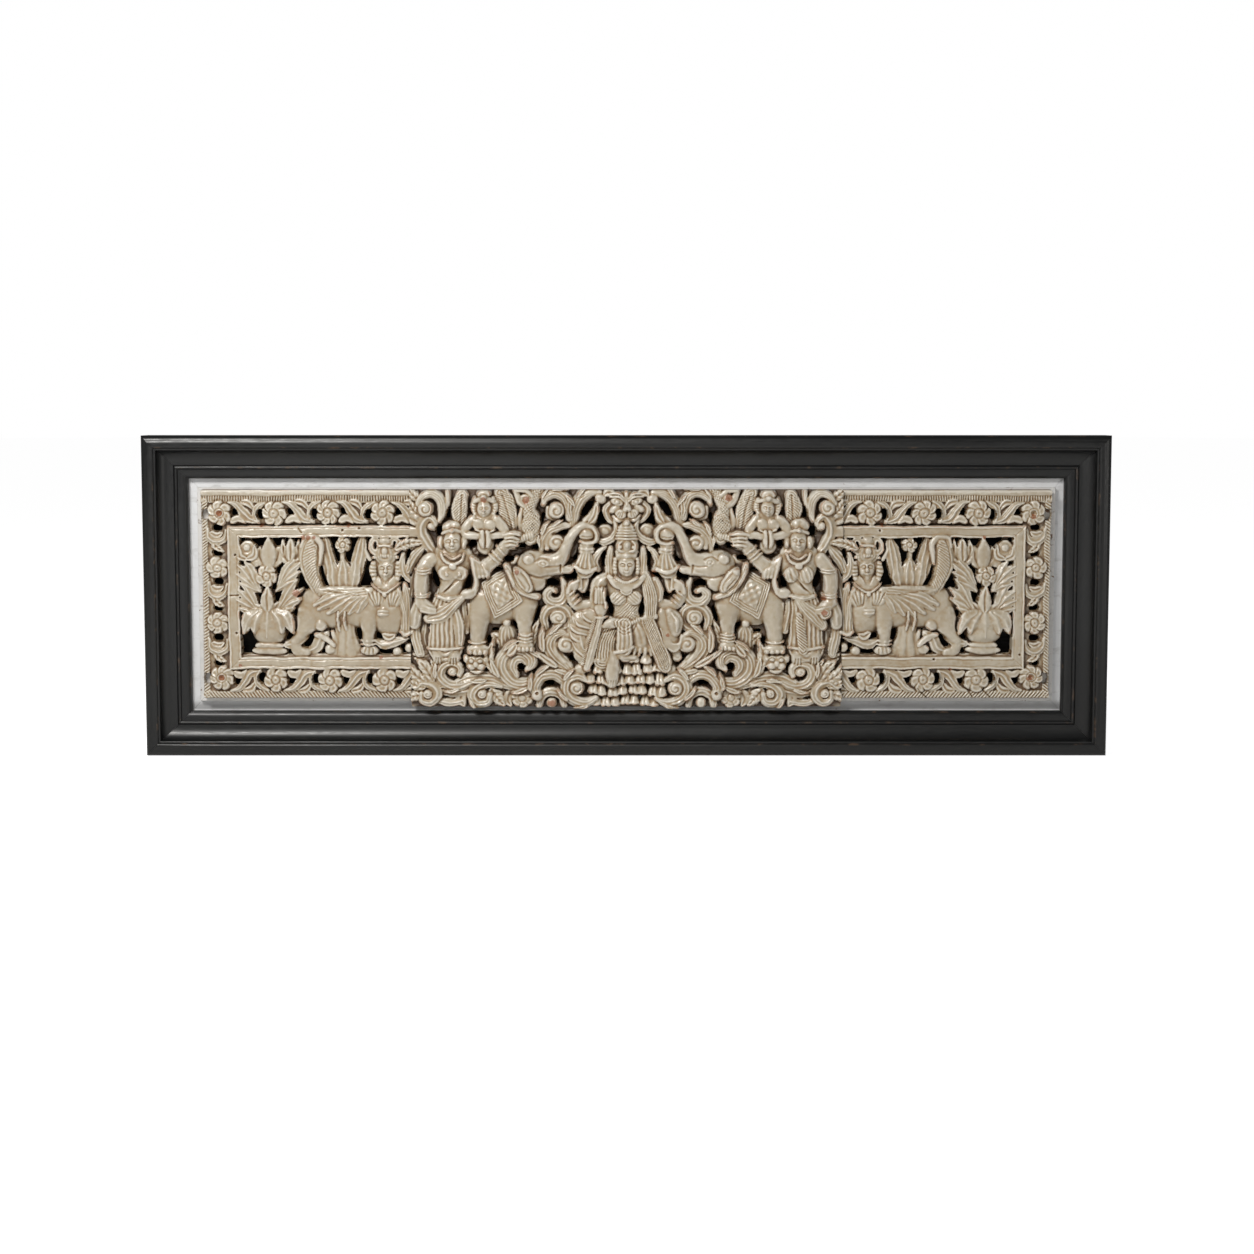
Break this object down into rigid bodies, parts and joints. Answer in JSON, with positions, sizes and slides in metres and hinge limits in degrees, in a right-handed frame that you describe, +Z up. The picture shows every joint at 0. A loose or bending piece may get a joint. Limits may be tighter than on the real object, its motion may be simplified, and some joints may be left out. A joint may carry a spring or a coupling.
{
  "type": "carved wall panel",
  "caption": "Long framed wall panel: pierced and painted wood relief of figures, elephants, winged beasts and scrolls in a moulded frame.",
  "frame": {"origin": "middle of the backing board's back, on the wall that the panel hangs on", "axes": "+X along the panel to the right as it is seen, +Z up, -Y out of the wall towards the viewer"},
  "size_m": [1.52, 0.079, 0.506],
  "materials": {
    "frame_paint": "charcoal black satin paint on a wooden moulding",
    "liner_paint": "cool white paint on flat wooden slips, scuffed, with brown worn spots",
    "backing_paint": "matt dark stain on a thin board",
    "carving_paint": "cream-grey satin paint on carved wood, worn brown on edges and in recesses"
  },
  "bodies": {
    "root": {"frame_top": "frame_paint", "frame_bottom": "frame_paint", "frame_left": "frame_paint", "frame_right": "frame_paint", "liner_top": "liner_paint", "liner_bottom": "liner_paint", "liner_left": "liner_paint", "liner_right": "liner_paint", "batten_top": "liner_paint", "batten_bottom": "liner_paint", "batten_left": "liner_paint", "batten_right": "liner_paint", "backing_board": "backing_paint", "carved_centre": "carving_paint", "carved_left_wing": "carving_paint", "carved_right_wing": "carving_paint"}
  },
  "joints": []
}
